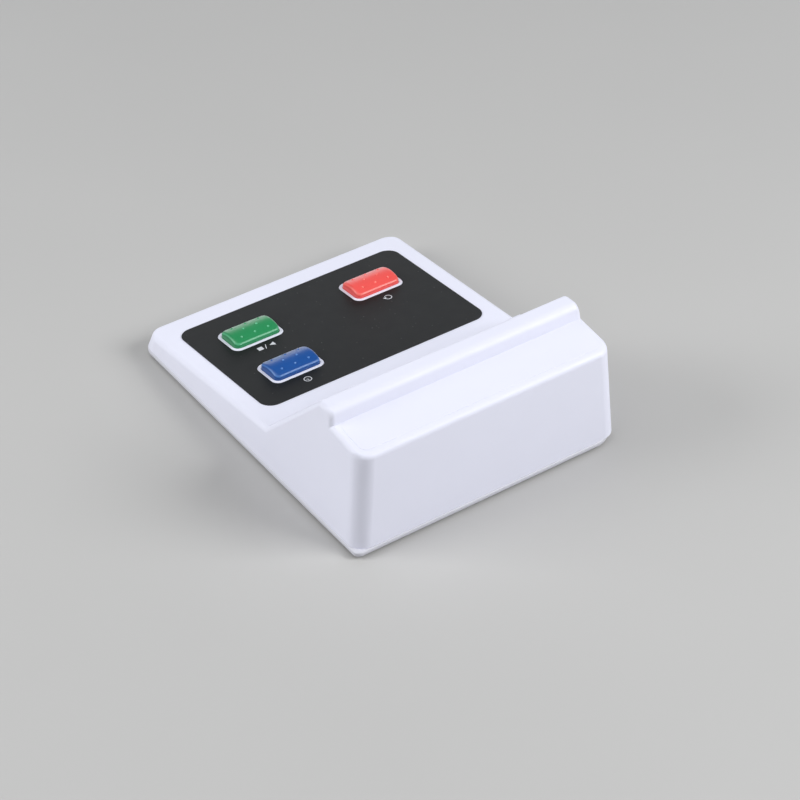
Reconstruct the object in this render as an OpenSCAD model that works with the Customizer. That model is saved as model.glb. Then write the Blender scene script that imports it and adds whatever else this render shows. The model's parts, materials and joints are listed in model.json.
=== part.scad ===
// Digital desk timer: a wedge-shaped bench timer with three press keys on a
// sloping deck, a leaning display face with a liquid-crystal panel behind a
// clear window, a ridge and roof behind it, and a base with a battery bay.
// Millimetres. X to the user's right, Y towards the back, Z up. The origin is
// on the surface the timer stands on, under the middle of the case.

/* [Case] */
// Overall width across the base
case_w = 109.4; // [109:0.2:111]
// Overall depth, front to back
case_d = 138.5; // [138:0.5:140]
// Height of the front top edge above the case bottom
front_h = 8.3; // [8.2:0.1:8.8]
// Level run of the leaning front wall
front_run = 2.7; // [2.4:0.1:2.9]
// Slope of the key deck in degrees
deck_angle = 5.8; // [5.6:0.1:6.2]
// Level length of the key deck from front edge to crease
deck_run = 78.1; // [77.8:0.1:78.6]
// Slope of the display face in degrees
face_angle = 45.1; // [44.8:0.1:45.5]
// Height of the ridge above the case bottom
ridge_h = 46.2; // [46:0.1:46.8]
// Depth of the ridge along its top
ridge_t = 6.9; // [6.6:0.1:7.3]
// Step from the ridge down to the roof
ridge_drop = 5.4; // [4.8:0.1:5.6]
// Height of the back top edge above the case bottom
back_h = 38.9; // [38.4:0.1:39.4]
// Wall thickness of the case
wall = 2; // [1.9:0.05:2.1]
// Lean of the side walls in degrees
side_draft = 4.75; // [4:0.05:5]
// Radius of the upright corners
corner_r = 5.9; // [5.2:0.1:6.2]
// How far the feet hold the case off the table
foot_gap = 1; // [0.8:0.1:1.4]

/* [Keys] */
// Length of a key cap
key_l = 18.6; // [18:0.1:19]
// Width of a key cap
key_w = 11.5; // [11:0.1:11.8]
// Height of a key cap above the deck
key_h = 3.5; // [3.1:0.1:3.8]
// Travel of a key
key_travel = 0.6; // [0.4:0.05:0.65]
// Distance of the key columns from the middle
key_x = 25.8; // [25.4:0.1:26.6]
// Front key row, measured up the deck from its front edge
key_s1 = 25.8; // [25:0.1:26.4]
// Rear key row, measured up the deck from its front edge
key_s2 = 52.2; // [51.6:0.1:53]

/* [Overlay] */
// Width of the dark deck overlay
overlay_w = 92.8; // [92:0.2:94]
// Length of the dark deck overlay up the deck
overlay_l = 60.7; // [60:0.1:61.5]
// Front edge of the overlay, measured up the deck
overlay_s = 8.8; // [8.2:0.1:9.2]
// Thickness of the overlay
overlay_t = 0.35; // [0.25:0.05:0.4]
// Rim of the case at the ends of each key, from the key outwards
margin_end = 1.2; // [1:0.05:1.4]
// Rim of the case along the sides of each key, from the key outwards
margin_side = 1.4; // [1.2:0.05:1.6]
// Height of these rims above the deck
key_rim = 0.32; // [0.2:0.02:0.4]

/* [Display] */
// Width of the clear window
window_w = 64; // [62:0.5:64]
// Height of the clear window up the face
window_h = 26; // [24:0.5:26]
// Thickness of the clear window
window_t = 1.5; // [1.2:0.1:1.6]
// How far the rim of the window stands out
rim_h = 0.35; // [0.2:0.05:0.6]

/* [Battery bay] */
// Cell diameter
cell_d = 10.5; // [10:0.1:10.5]
// Cell length with its button
cell_l = 44.5; // [44:0.1:44.5]
// Distance between the two cells
cell_pitch = 12; // [11.8:0.1:12.2]
// Thickness of the battery door
door_t = 1.7; // [1.5:0.05:1.75]

/* [Hidden] */
$fn = 48;

lip = 0.5;                 // ledge where the base stands out from the front and back wall
lip_side = 0.2;            // the same at the sides
plate_r = [2.6, 10, 7, 7]; // corners of the base plate, from rear right leftwards
base_t = 2;                // base plate
wall_lean = 0.044;         // lean of the back wall
overlay_in = 0.1;          // depth of the recess the overlay lies in
key_gap = 0.15;            // clearance of a key in its well
eps = 0.01;

// Side profile, y from the front of the base and z from the case bottom
P_F = [lip + front_run, front_h];
P_C = [P_F.x + deck_run, front_h + deck_run * tan(deck_angle)];
face_l = (ridge_h - P_C.y) / sin(face_angle);
P_R = P_C + face_l * [cos(face_angle), sin(face_angle)];
P_N = P_R + [ridge_t, 0.4];
P_K = P_N + [1, -ridge_drop];
P_B = [case_d - lip - wall_lean * back_h, back_h];
P_0 = [lip, base_t];
P_7 = [case_d - lip - wall_lean * base_t, base_t];
profile = [P_0, P_F, P_C, P_R, P_N, P_K, P_B, P_7];
profile_r = [0, 1.6, 0, 1.4, 1.8, 0, 1.8, 0];
face_mid = face_l / 2;

function roof_z(y) = P_K.y + (P_B.y - P_K.y) * (y - P_K.x) / (P_B.x - P_K.x);
function deck_z(y) = P_F.y + (y - P_F.x) * tan(deck_angle);
function half_w(z) = case_w / 2 - lip_side - tan(side_draft) * z;
function back_y(z) = case_d - lip - wall_lean * z;
function front_y(z) = lip - 0.03 + front_run * (z - base_t) / (front_h - base_t);

function unit(v) = v / norm(v);
// Points of a fillet of radius r at corner b between a and c
function fillet(a, b, c, r, n) =
    let (u = unit(a - b), v = unit(c - b), h = acos(u * v) / 2,
         p = b + u * r / tan(h), q = b + v * r / tan(h),
         o = b + unit(u + v) * r / sin(h))
    [for (i = [0 : n]) o + r * unit((p - o) * (1 - i / n) + (q - o) * i / n)];
function rounded(P, R, n = 5) =
    [for (i = [0 : len(P) - 1])
        each R[i] <= 0 ? [P[i]]
           : fillet(P[(i + len(P) - 1) % len(P)], P[i], P[(i + 1) % len(P)], R[i], n)];
function right_of(a, b) = let (d = unit(b - a)) [d.y, -d.x];
// The same profile, a wall further in, open at the bottom
function inner_profile(P, w) =
    [for (i = [0 : len(P) - 1])
        i == 0 ? [P[0].x + w, -1]
      : i == len(P) - 1 ? [P[i].x - w + 0.05, -1]
      : let (a = right_of(P[i - 1], P[i]), b = right_of(P[i], P[i + 1]))
        P[i] + (a + b) * w / (1 + a * b)];

// Places
post_front = [46, 11];
post_rear = [44, 125];
posts = [for (sx = [-1, 1]) each [[sx * post_front.x, post_front.y],
                                  [sx * post_rear.x, post_rear.y]]];
feet = [for (sx = [-1, 1], y = [24, 111]) [sx * 43, y]];
key_places = [[key_x, key_s1], [key_x, key_s2], [-key_x, key_s1]];

// Key stack, measured from the deck surface downwards
deck_in = wall;
flange_top = deck_in + 0.1;
flange_t = 0.8;
stem_end = flange_top + flange_t + 0.5;
plunger_top = stem_end + 0.02;
switch_top = plunger_top + key_travel + 0.2;
switch_h = 1.6;
keypad_top = switch_top + switch_h;
keypad_t = 1;
plunger_l = key_travel + 0.85;
keypad_posts = [[0, 17], [0, 62], [-39, 38.75], [39, 38.75]];

// Display stack, measured from the face inwards
lcd_d = 3.1;
glass_t = 1.1;
board_d = 9;
board_t = 1.6;
board_w = 86;
board_h = 38;
board_posts = [for (sx = [-1, 1], sy = [-1, 1]) [sx * 39.5, sy * 16]];

// Battery bay, y from the front of the base
bay_y1 = 102.3;
bay_y2 = 125.7;
bay_x = 26;
bay_wall = 1.6;
cell_z = 2.3 + cell_d / 2;
bay_top = 13.3;
cell_y1 = 114 - cell_pitch / 2;
cell_y2 = 114 + cell_pitch / 2;
plate_t = 0.4;
cell_in = bay_x - plate_t;
spring_end = cell_l - cell_in;
door_y1 = 100;
door_y2 = 128;
door_x = 28.3;
door_gap = 0.2;
recess_z = 1.9;

// Frames
module in_case() { translate([0, -case_d / 2, foot_gap]) children(); }
module on_deck() { in_case() translate([0, P_F.x, P_F.y]) rotate([deck_angle, 0, 0]) children(); }
module on_face() { in_case() translate([0, P_C.x, P_C.y]) rotate([face_angle, 0, 0]) translate([0, face_mid, 0]) children(); }

// A point of the face frame, x, up the face and depth, in base coordinates
function face_pt(x, t, d) =
    [x, P_C.x + (face_mid + t) * cos(face_angle) + d * sin(face_angle),
        P_C.y + (face_mid + t) * sin(face_angle) - d * cos(face_angle)];
function deck_pt(x, s, d) =
    [x, P_F.x + s * cos(deck_angle) + d * sin(deck_angle),
        P_F.y + s * sin(deck_angle) - d * cos(deck_angle)];

// Shapes that repeat
module rrect(w, d, r) {
    square([w - 2 * r, d], center = true);
    square([w, d - 2 * r], center = true);
    for (sx = [-1, 1], sy = [-1, 1])
        translate([sx * (w / 2 - r), sy * (d / 2 - r)]) circle(r);
}
// Rectangle of half width a and half depth b, each corner with its own radius
module plate(a, b, r) {
    polygon([[a, b - r[0]], [a - r[0], b], [r[1] - a, b], [-a, b - r[1]],
             [-a, r[2] - b], [r[2] - a, -b], [a - r[3], -b], [a, r[3] - b]]);
    translate([a - r[0], b - r[0]]) circle(r[0]);
    translate([r[1] - a, b - r[1]]) circle(r[1]);
    translate([r[2] - a, r[2] - b]) circle(r[2]);
    translate([a - r[3], r[3] - b]) circle(r[3]);
}
module slab(w, d, r, z1, z2) { translate([0, 0, z1]) linear_extrude(z2 - z1) rrect(w, d, r); }
module side_prism(pts, w) { rotate([90, 0, 90]) linear_extrude(w, center = true) polygon(pts); }
// Block with leaning walls and rounded upright corners
module leaning_block(inset, r, z1, z2) {
    hull() for (z = [z1, z2], sx = [-1, 1], sy = [0, 1])
        translate([sx * (half_w(z) - inset - r),
                   sy == 0 ? front_y(z) + inset + r : back_y(z) - inset - r, z - eps])
            cylinder(r = r, h = 2 * eps, $fn = 32);
}
// Round wire along a list of points
module wire(path, r, sides = 8, ref = [1, 0, 0]) {
    n = len(path);
    t = [for (i = [0 : n - 1]) unit(path[min(i + 1, n - 1)] - path[max(i - 1, 0)])];
    rings = [for (i = [0 : n - 1])
        let (a = unit(cross(t[i], ref)), b = cross(t[i], a))
        each [for (k = [0 : sides - 1])
            path[i] + r * (cos(360 * k / sides) * a + sin(360 * k / sides) * b)]];
    sidef = [for (i = [0 : n - 2], k = [0 : sides - 1])
        [i * sides + k, (i + 1) * sides + k,
         (i + 1) * sides + (k + 1) % sides, i * sides + (k + 1) % sides]];
    ends = [[for (k = [0 : sides - 1]) k],
            [for (k = [sides - 1 : -1 : 0]) (n - 1) * sides + k]];
    polyhedron(rings, concat(sidef, ends), convexity = 6);
}
// Pan-head screw standing on z = 0, head below, with a cross recess
module pan_screw(head_r, head_h, shank_r, shank_l) {
    difference() {
        union() {
            translate([0, 0, -head_h]) cylinder(r = head_r, h = head_h);
            cylinder(r = shank_r, h = shank_l);
        }
        for (a = [0, 90]) rotate(a)
            translate([-head_r * 0.6, -head_r * 0.12, -head_h - 1])
                cube([head_r * 1.2, head_r * 0.24, 1 + head_h * 0.55]);
    }
}

// Shell: deck, display face, ridge, roof and walls, open below
module upper_case() {
    color("#E8EAF4") difference() {
        union() {
            difference() {
                in_case() difference() {
                    intersection() {
                        leaning_block(0, corner_r, base_t, ridge_h + 2);
                        side_prism(rounded(profile, profile_r), case_w + 10);
                    }
                    intersection() {
                        leaning_block(wall, corner_r - wall, 0, ridge_h + 2);
                        side_prism(inner_profile(profile, wall), case_w + 10);
                    }
                }
                // recess for the overlay
                on_deck() translate([0, overlay_s + overlay_l / 2, 0])
                    slab(overlay_w + 0.2, overlay_l + 0.2, 5.1, -overlay_in, 1);
            }
            // rim around each key
            on_deck() for (p = key_places) translate([p.x, p.y, 0])
                slab(key_l + 2 * margin_end, key_w + 2 * margin_side, 2.9, -wall / 2, key_rim);
            // posts that take the case screws
            in_case() for (p = posts) translate([p.x, p.y, 5.1])
                cylinder(r = 3, h = (p.y < 60 ? deck_z(p.y) : roof_z(p.y)) - wall / 2 - 5.1);
            // posts that carry the keypad board
            on_deck() for (p = keypad_posts) translate([p.x, p.y, -keypad_top])
                cylinder(r = 2.2, h = keypad_top - wall / 2);
            // raised rim around the window, backing pad and board posts
            on_face() {
                slab(window_w + 6, window_h + 6, 3, -wall / 2, rim_h);
                slab(window_w + 6, window_h + 6, 3, -3, -wall / 2);
                for (p = board_posts) translate([p.x, p.y, -board_d])
                    cylinder(r = 2.4, h = board_d - wall / 2);
            }
        }
        // a well for each key, and holes for the keypad screws
        on_deck() {
            for (p = key_places) translate([p.x, p.y, 0])
                slab(key_l + 2 * key_gap, key_w + 2 * key_gap, 2.05, -deck_in - 1, 1);
            for (p = keypad_posts) translate([p.x, p.y, -keypad_top - 1])
                cylinder(r = 0.8, h = 4.6);
        }
        // window seat and sight opening
        on_face() {
            slab(window_w, window_h, 2, -window_t, 1);
            slab(window_w - 4, window_h - 4, 1, -4, 1);
            for (p = board_posts) translate([p.x, p.y, -board_d - 1])
                cylinder(r = 0.8, h = 6.2);
        }
        in_case() for (p = posts) translate([p.x, p.y, 4]) cylinder(r = 1.05, h = 3.5);
    }
}

// Base plate with its lip, tongue, screw wells, foot seats and battery bay
module base_cover() {
    color("#E2E4EE") in_case() difference() {
        union() {
            translate([0, case_d / 2, 0]) {
                linear_extrude(base_t) plate(case_w / 2, case_d / 2, plate_r);
                translate([0, 0.7, 0]) difference() {
                    slab(case_w - 6, case_d - 8, corner_r - 2.6, base_t, base_t + 2.4);
                    slab(case_w - 8.4, case_d - 10.4, corner_r - 3.8, base_t, base_t + 3);
                }
            }
            for (p = posts) translate([p.x, p.y, 0]) cylinder(r = 4, h = 5);
            translate([-bay_x - bay_wall, bay_y1 - bay_wall, 0])
                cube([2 * (bay_x + bay_wall), bay_y2 - bay_y1 + 2 * bay_wall, bay_top + bay_wall]);
            translate([-door_x - 2.7, door_y1 - 3, 0])
                cube([2 * (door_x + 2.7), door_y2 - door_y1 + 6, 4.4]);
        }
        // battery bay and the seat of its door
        translate([-bay_x, bay_y1, -1]) cube([2 * bay_x, bay_y2 - bay_y1, bay_top + 1]);
        translate([-door_x - door_gap, door_y1 - door_gap, -1])
            cube([2 * (door_x + door_gap), door_y2 - door_y1 + 0.5, recess_z + 1]);
        translate([-5.5, door_y2, -1]) cube([11, 1.6, recess_z + 1]);
        for (sx = [-1, 1]) translate([sx * 16 - 4.5, door_y1 - 2.1, recess_z])
            cube([9, 6, 2.6]);
        // slots for the solder tags of the contacts
        for (y = [cell_y1, cell_y2]) translate([bay_x - 0.9, y - 2.2, bay_top - 1])
            cube([1.2, 4.4, 4]);
        // screw wells and foot seats
        for (p = posts) translate([p.x, p.y, 0]) {
            translate([0, 0, -1]) cylinder(r = 2.7, h = 4);
            translate([0, 0, 2]) cylinder(r = 1.25, h = 4);
        }
        for (p = feet) translate([p.x, p.y, -1]) cylinder(r = 5.1, h = 2);
        // sound holes under the buzzer side, and a shallow plain panel
        for (a = [0 : 60 : 300]) translate([-22 + 4 * cos(a), 80 + 4 * sin(a), -1])
            cylinder(r = 0.8, h = 4);
        translate([-22, 80, -1]) cylinder(r = 0.8, h = 4);
        translate([0, 48, -1]) slab(56, 26, 2, 0, 1.2);
    }
}

// Door of the battery bay: plate, two hooked fingers, springy latch tongue
module battery_door() {
    color("#E2E4EE") in_case() difference() {
        union() {
            translate([-door_x, door_y1, 0]) cube([2 * door_x, door_y2 - door_y1, door_t]);
            for (sx = [-1, 1]) {
                translate([sx * 16 - 4, door_y1 - 1.6, recess_z + 0.1]) cube([8, 5.4, 1.2]);
                translate([sx * 16 - 4, door_y1 + 2.6, 0.5]) cube([8, 1.2, recess_z + 0.8]);
            }
            translate([-4.5, door_y2 - 0.5, 0.7]) cube([9, 1.5, door_t - 0.7]);
        }
        for (sx = [-1, 1]) translate([sx * 6.4 - 0.4, door_y2 - 9, -1]) cube([0.8, 10, 5]);
        for (i = [0 : 3]) translate([-4, door_y2 - 6 + 1.2 * i, -1]) cube([8, 0.5, 1.35]);
    }
}

// Dark overlay of the deck, cut out around each key
module key_overlay() {
    color("#36393B") on_deck() difference() {
        translate([0, overlay_s + overlay_l / 2, 0])
            slab(overlay_w, overlay_l, 5, -overlay_in, overlay_t - overlay_in);
        for (p = key_places) translate([p.x, p.y, 0])
            slab(key_l + 2 * margin_end + 0.2, key_w + 2 * margin_side + 0.2, 3, -1, 1);
    }
}

// Key cap: crowned top, straight skirt, flange under the deck, stem
module key_cap(p) {
    on_deck() translate([p.x, p.y, 0]) {
        difference() {
            union() {
                hull() {
                    slab(key_l, key_w, 1.9, 0, key_h * 0.42, $fn = 32);
                    slab(key_l - 0.5, key_w * 0.975, 1.8, 0.6, key_h * 0.54, $fn = 32);
                    slab(key_l - 0.9, key_w * 0.79, 1.7, 0.6, key_h * 0.72, $fn = 32);
                    slab(key_l - 1.4, key_w * 0.54, 1.5, 0.6, key_h * 0.87, $fn = 32);
                    slab(key_l - 2.1, key_w * 0.3, 1.2, 0.6, key_h * 0.965, $fn = 32);
                    slab(key_l - 2.7, key_w * 0.18, 0.9, 0.6, key_h, $fn = 32);
                }
                slab(key_l, key_w, 1.9, -flange_top, 0);
                slab(key_l + 2.4, key_w + 2.4, 2.6, -flange_top - flange_t, -flange_top);
            }
            slab(key_l - 3, key_w - 3, 1.2, -flange_top - flange_t - 1, key_h * 0.4);
        }
        translate([0, 0, -stem_end]) cylinder(r = 2, h = stem_end + key_h * 0.5);
    }
}
module start_stop_key() { color("#2F9A55") key_cap(key_places[0]); }
module mode_key() { color("#1F57A6") key_cap(key_places[1]); }
module split_reset_key() { color("#F4605C") key_cap(key_places[2]); }

// Push button of a key switch
module plunger(p) {
    on_deck() translate([p.x, p.y, -plunger_top - plunger_l]) cylinder(r = 1.75, h = plunger_l);
}
module start_stop_plunger() { color("#2A2A2C") plunger(key_places[0]); }
module mode_plunger() { color("#2A2A2C") plunger(key_places[1]); }
module split_reset_plunger() { color("#2A2A2C") plunger(key_places[2]); }

// Housings of the three key switches
module switch_housings() {
    color("#B9BCC0") on_deck() for (p = key_places) translate([p.x, p.y, -keypad_top])
        difference() {
            translate([-3, -3, 0]) cube([6, 6, switch_h]);
            translate([0, 0, 0.25]) cylinder(r = 1.8, h = switch_h);
        }
}

// Board under the deck that carries the key switches
module keypad_board() {
    color("#2E6B3F") on_deck() difference() {
        translate([0, 40, -keypad_top - keypad_t]) slab(86, 52, 1, 0, keypad_t);
        for (p = keypad_posts) translate([p.x, p.y, -keypad_top - 2]) cylinder(r = 1.1, h = 4);
    }
}
module keypad_screws() {
    color("#C9CCCF") on_deck() for (p = keypad_posts)
        translate([p.x, p.y, -keypad_top - keypad_t]) pan_screw(1.9, 0.9, 0.75, 3.8);
}

// Flat cable from the keypad board to the main board
ribbon_mid = [deck_pt(0, 60.5, keypad_top - 0.25), deck_pt(0, 66.8, keypad_top - 0.25),
              [0, 72.5, 9.4], [0, 78, 8.2], [0, 84, 6.6], [0, 88.5, 6.6], [0, 91.2, 8.8],
              face_pt(0, 4.2 - face_mid, board_d + board_t + 0.25),
              face_pt(0, 9 - face_mid, board_d + board_t + 0.25)];
module ribbon_cable() {
    n = len(ribbon_mid);
    m = [for (p = ribbon_mid) [p.y, p.z]];
    t = [for (i = [0 : n - 1]) unit(m[min(i + 1, n - 1)] - m[max(i - 1, 0)])];
    q = [for (i = [0 : n - 1]) [-t[i].y, t[i].x] * 0.24];
    color("#C8CBD0") in_case() translate([-12, 0, 0])
        side_prism(concat([for (i = [0 : n - 1]) m[i] + q[i]],
                          [for (i = [n - 1 : -1 : 0]) m[i] - q[i]]), 14);
}

// Clear window in the display face
module display_window() {
    color("#DDE6EA", 0.5) on_face() slab(window_w - 0.3, window_h - 0.3, 1.9, -window_t, 0);
}

// Liquid-crystal panel: wide front glass, narrower rear glass
module lcd_panel() {
    color("#A9B5A4") on_face() {
        translate([-33, -14, -lcd_d - glass_t]) cube([66, 28, glass_t]);
        translate([-33, -11, -lcd_d - 2 * glass_t]) cube([66, 22, glass_t]);
    }
}
module lcd_reflector() {
    color("#C5CBC2") on_face()
        translate([-32, -10.5, -lcd_d - 2 * glass_t - 0.25]) cube([64, 21, 0.25]);
}

// Frame that holds the panel and the contact strips against the board
module lcd_holder() {
    color("#D9DADF") on_face() {
        difference() {
            translate([-35.8, -16, -board_d]) cube([71.6, 32, board_d - lcd_d + 0.05]);
            translate([-33.15, -14.15, -board_d - 1]) cube([66.3, 28.3, board_d]);
        }
        for (sy = [-1, 1])
            translate([-34, sy * 10.8 - 0.6, -board_d]) cube([68, 1.2, board_d - lcd_d - 2 * glass_t - 0.3]);
    }
}
// Conducting rubber strips between the glass and the board
module contact_strips() {
    color("#D08A94") on_face() for (sy = [-1, 1])
        translate([-31.5, sy * 12.75 - 1.2, -board_d]) cube([63, 2.4, board_d - lcd_d - glass_t]);
}

// Main board, its screws and what is soldered to its back
module main_board() {
    color("#2E6B3F") on_face() difference() {
        translate([0, 0, -board_d - board_t]) slab(board_w, board_h, 1, 0, board_t);
        for (p = board_posts) translate([p.x, p.y, -board_d - 3]) cylinder(r = 1.1, h = 5);
    }
}
module board_screws() {
    color("#C9CCCF") on_face() for (p = board_posts)
        translate([p.x, p.y, -board_d - board_t]) pan_screw(1.9, 1.3, 0.75, 5.6);
}
module controller_blob() {
    color("#161618") on_face() translate([0, 2, -board_d - board_t]) mirror([0, 0, 1])
        rotate_extrude() polygon(concat([[0, 0]],
            [for (a = [0 : 10 : 90]) [7 * cos(a), 1.7 * sin(a)]]));
}
module clock_crystal() {
    color("#BFC3C7") on_face() translate([14, -6, -board_d - board_t - 1.05])
        rotate([0, 90, 0]) cylinder(r = 1.05, h = 6.2);
}
module chip_parts() {
    color("#7C6A58") on_face() for (p = [[12, 8], [16, 8], [20, 8], [12, 2], [16, 2], [-12, -8], [-16, -8], [-12, 10]])
        translate([p.x - 1, p.y - 0.6, -board_d - board_t - 0.7]) cube([2, 1.2, 0.7]);
}
module buzzer() {
    color("#1B1B1D") on_face() translate([-26, 2, -board_d - board_t - 6.5]) difference() {
        cylinder(r = 6, h = 6.5);
        translate([0, 0, -1]) cylinder(r = 1.1, h = 3);
    }
}

// Two cells, head to tail
module cell() {
    rotate([0, 90, 0]) rotate_extrude() polygon([[0, 0], [cell_d / 2 - 0.4, 0], [cell_d / 2, 0.4],
        [cell_d / 2, cell_l - 1.4], [cell_d / 2 - 0.4, cell_l - 1], [1.9, cell_l - 1],
        [1.9, cell_l], [0, cell_l]]);
}
module battery_cells() {
    color("#3A3F46") in_case() {
        translate([cell_in - cell_l, cell_y1, cell_z]) cell();
        translate([cell_l - cell_in, cell_y2, cell_z]) mirror([1, 0, 0]) cell();
    }
}
// Coil that widens towards its plate, along +X from x = 0 to x = len
function coil(len, turns, r1, r2, n) = [for (i = [0 : n])
    let (u = i / n, a = 360 * turns * u, r = r1 + (r2 - r1) * u)
    [len * u, r * cos(a), r * sin(a)]];
module contact_plate(w, h) { translate([0, -w / 2, -h / 2]) cube([plate_t, w, h]); }
module tag() { translate([0, -1.5, 0]) cube([plate_t, 3, 16.6 - cell_z]); }
module spring_leaf(len) { wire(coil(len - 0.32, 3.5, 3.6, 2.2, 56), 0.3, 6); }
module positive_contact() {
    color("#CFC9B4") in_case() translate([cell_in, cell_y1, cell_z]) {
        contact_plate(9, 8);
        tag();
    }
}
module negative_contact() {
    color("#CFC9B4") in_case() translate([cell_in, cell_y2, cell_z]) {
        contact_plate(9, 8);
        tag();
        mirror([1, 0, 0]) spring_leaf(cell_in - spring_end);
    }
}
module bridge_contact() {
    color("#CFC9B4") in_case() {
        translate([-cell_in, cell_y1, cell_z]) {
            mirror([1, 0, 0]) contact_plate(9, 8);
            spring_leaf(cell_in - spring_end);
        }
        translate([-cell_in, cell_y2, cell_z]) mirror([1, 0, 0]) contact_plate(9, 8);
        translate([-bay_x, cell_y1, cell_z - 2]) cube([plate_t, cell_y2 - cell_y1, 4]);
    }
}
// Leads from the contacts to the main board
lead_p1 = face_pt(20, -8, board_d + board_t);
lead_p2 = face_pt(31, -8, board_d + board_t);
module lead(from, to, out) {
    wire([from, from + [0, 0, 0.9], from + [0.2 * out, -1, 2], from + [0.55 * out, -3, 3.2], from + [out, -6, 3.6],
          [to.x + 1, to.y + 4.2, to.z - 1.6], [to.x + 0.4, to.y + 2.4, to.z - 1.6],
          to + 0.9 * [0, sin(face_angle), -cos(face_angle)], to], 0.55);
}
module positive_lead() {
    color("#B3262B") in_case() lead([bay_x - 0.2, cell_y1, 16.6], lead_p1, -1.6);
}
module negative_lead() {
    color("#1C1C1E") in_case() lead([bay_x - 0.2, cell_y2, 16.6], lead_p2, 2.4);
}

// Screws that close the case, and the feet
module case_screws() {
    color("#C9CCCF") in_case() for (p = posts) translate([p.x, p.y, 3]) pan_screw(2.3, 1.5, 1, 4.2);
}
module rubber_feet() {
    color("#D5D6DA") in_case() for (p = feet) translate([p.x, p.y, -foot_gap])
        rotate_extrude() polygon([[0, 0], [4.4, 0], [5, 0.6], [5, foot_gap + 1], [0, foot_gap + 1]]);
}

upper_case();
base_cover();
battery_door();
key_overlay();
start_stop_key();
mode_key();
split_reset_key();
start_stop_plunger();
mode_plunger();
split_reset_plunger();
switch_housings();
keypad_board();
keypad_screws();
ribbon_cable();
display_window();
lcd_panel();
lcd_reflector();
lcd_holder();
contact_strips();
main_board();
board_screws();
controller_blob();
clock_crystal();
chip_parts();
buzzer();
battery_cells();
positive_contact();
negative_contact();
bridge_contact();
positive_lead();
negative_lead();
case_screws();
rubber_feet();
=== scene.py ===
import json
import math

import bmesh
import bpy
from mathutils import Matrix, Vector


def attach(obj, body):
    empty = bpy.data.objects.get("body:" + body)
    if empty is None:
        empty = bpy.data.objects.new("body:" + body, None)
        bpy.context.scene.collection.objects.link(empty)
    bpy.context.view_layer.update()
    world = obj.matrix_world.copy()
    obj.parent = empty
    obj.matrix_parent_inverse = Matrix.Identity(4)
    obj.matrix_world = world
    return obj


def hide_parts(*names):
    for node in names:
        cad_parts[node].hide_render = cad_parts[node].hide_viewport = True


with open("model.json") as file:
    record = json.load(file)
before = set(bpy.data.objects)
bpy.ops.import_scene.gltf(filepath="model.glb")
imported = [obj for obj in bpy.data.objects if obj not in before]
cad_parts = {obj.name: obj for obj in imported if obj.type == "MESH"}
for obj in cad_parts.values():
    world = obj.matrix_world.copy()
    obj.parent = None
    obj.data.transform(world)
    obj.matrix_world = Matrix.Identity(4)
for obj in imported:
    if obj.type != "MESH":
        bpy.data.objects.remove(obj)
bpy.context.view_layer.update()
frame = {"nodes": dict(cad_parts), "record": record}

scene = bpy.context.scene
nodes = frame["nodes"]

# ---------------------------------------------------------------- dimensions
# Millimetres. "Case" coordinates: x across, y from the front of the base,
# z from the case bottom. row() turns them into the shared frame, in metres.
MM = 0.001
CASE_W, CASE_D, FOOT = 109.4, 138.5, 1.0
LIP, LIP_SIDE, BASE_T, LEAN = 0.5, 0.2, 2.0, 0.044
PLATE_R = (2.6, 10.0, 7.0, 7.0)
DRAFT = math.tan(math.radians(4.75))
FRONT_H, FRONT_RUN = 8.3, 2.7
DECK_A, DECK_RUN = math.radians(5.8), 78.1
FACE_A, RIDGE_H, RIDGE_T, RIDGE_DROP, BACK_H = math.radians(45.1), 46.2, 6.9, 5.4, 38.9
CORNER_R = 5.9
KEY_L, KEY_W, KEY_H, KEY_X, KEY_S1, KEY_S2 = 18.6, 11.5, 3.5, 25.8, 25.8, 52.2
KEY_GAP, KEY_RIM, RIM_END, RIM_SIDE = 0.15, 0.32, 1.2, 1.4
KEY_PLACES = ((KEY_X, KEY_S1), (KEY_X, KEY_S2), (-KEY_X, KEY_S1))
OVERLAY_TOP = 0.25
WINDOW_W, WINDOW_H, WINDOW_T, RIM_H = 64.0, 26.0, 1.5, 0.35
LCD_D = 3.1

P_F = Vector((LIP + FRONT_RUN, FRONT_H))
P_C = P_F + Vector((DECK_RUN, DECK_RUN * math.tan(DECK_A)))
FACE_L = (RIDGE_H - P_C.y) / math.sin(FACE_A)
P_R = P_C + FACE_L * Vector((math.cos(FACE_A), math.sin(FACE_A)))
P_N = P_R + Vector((RIDGE_T, 0.4))
P_K = P_N + Vector((1.0, -RIDGE_DROP))
P_B = Vector((CASE_D - LIP - LEAN * BACK_H, BACK_H))
FACE_MID = FACE_L / 2


def row(x, y, z):
    return Vector((x, y - CASE_D / 2, z + FOOT)) * MM


def on_deck(x, s, n):
    c, k = math.cos(DECK_A), math.sin(DECK_A)
    return row(x, P_F.x + s * c - n * k, P_F.y + s * k + n * c)


def on_face(x, t, n):
    c, k = math.cos(FACE_A), math.sin(FACE_A)
    return row(x, P_C.x + (FACE_MID + t) * c - n * k, P_C.y + (FACE_MID + t) * k + n * c)


ROOF_D = (P_B - P_K).normalized()
ROOF_L = (P_B - P_K).length


def on_roof(x, s, n):
    return row(x, P_K.x + s * ROOF_D.x - n * ROOF_D.y, P_K.y + s * ROOF_D.y + n * ROOF_D.x)


# ------------------------------------------------------------- mesh building
def new_object(name, mesh):
    o = bpy.data.objects.new(name, mesh)
    scene.collection.objects.link(o)
    return o


def solid(name, verts, faces):
    """A mesh object from points in the shared frame, with its faces turned outwards."""
    me = bpy.data.meshes.new(name)
    me.from_pydata([tuple(v) for v in verts], [], faces)
    bm = bmesh.new()
    bm.from_mesh(me)
    bmesh.ops.recalc_face_normals(bm, faces=bm.faces)
    bm.to_mesh(me)
    bm.free()
    me.update()
    return new_object(name, me)


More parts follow.
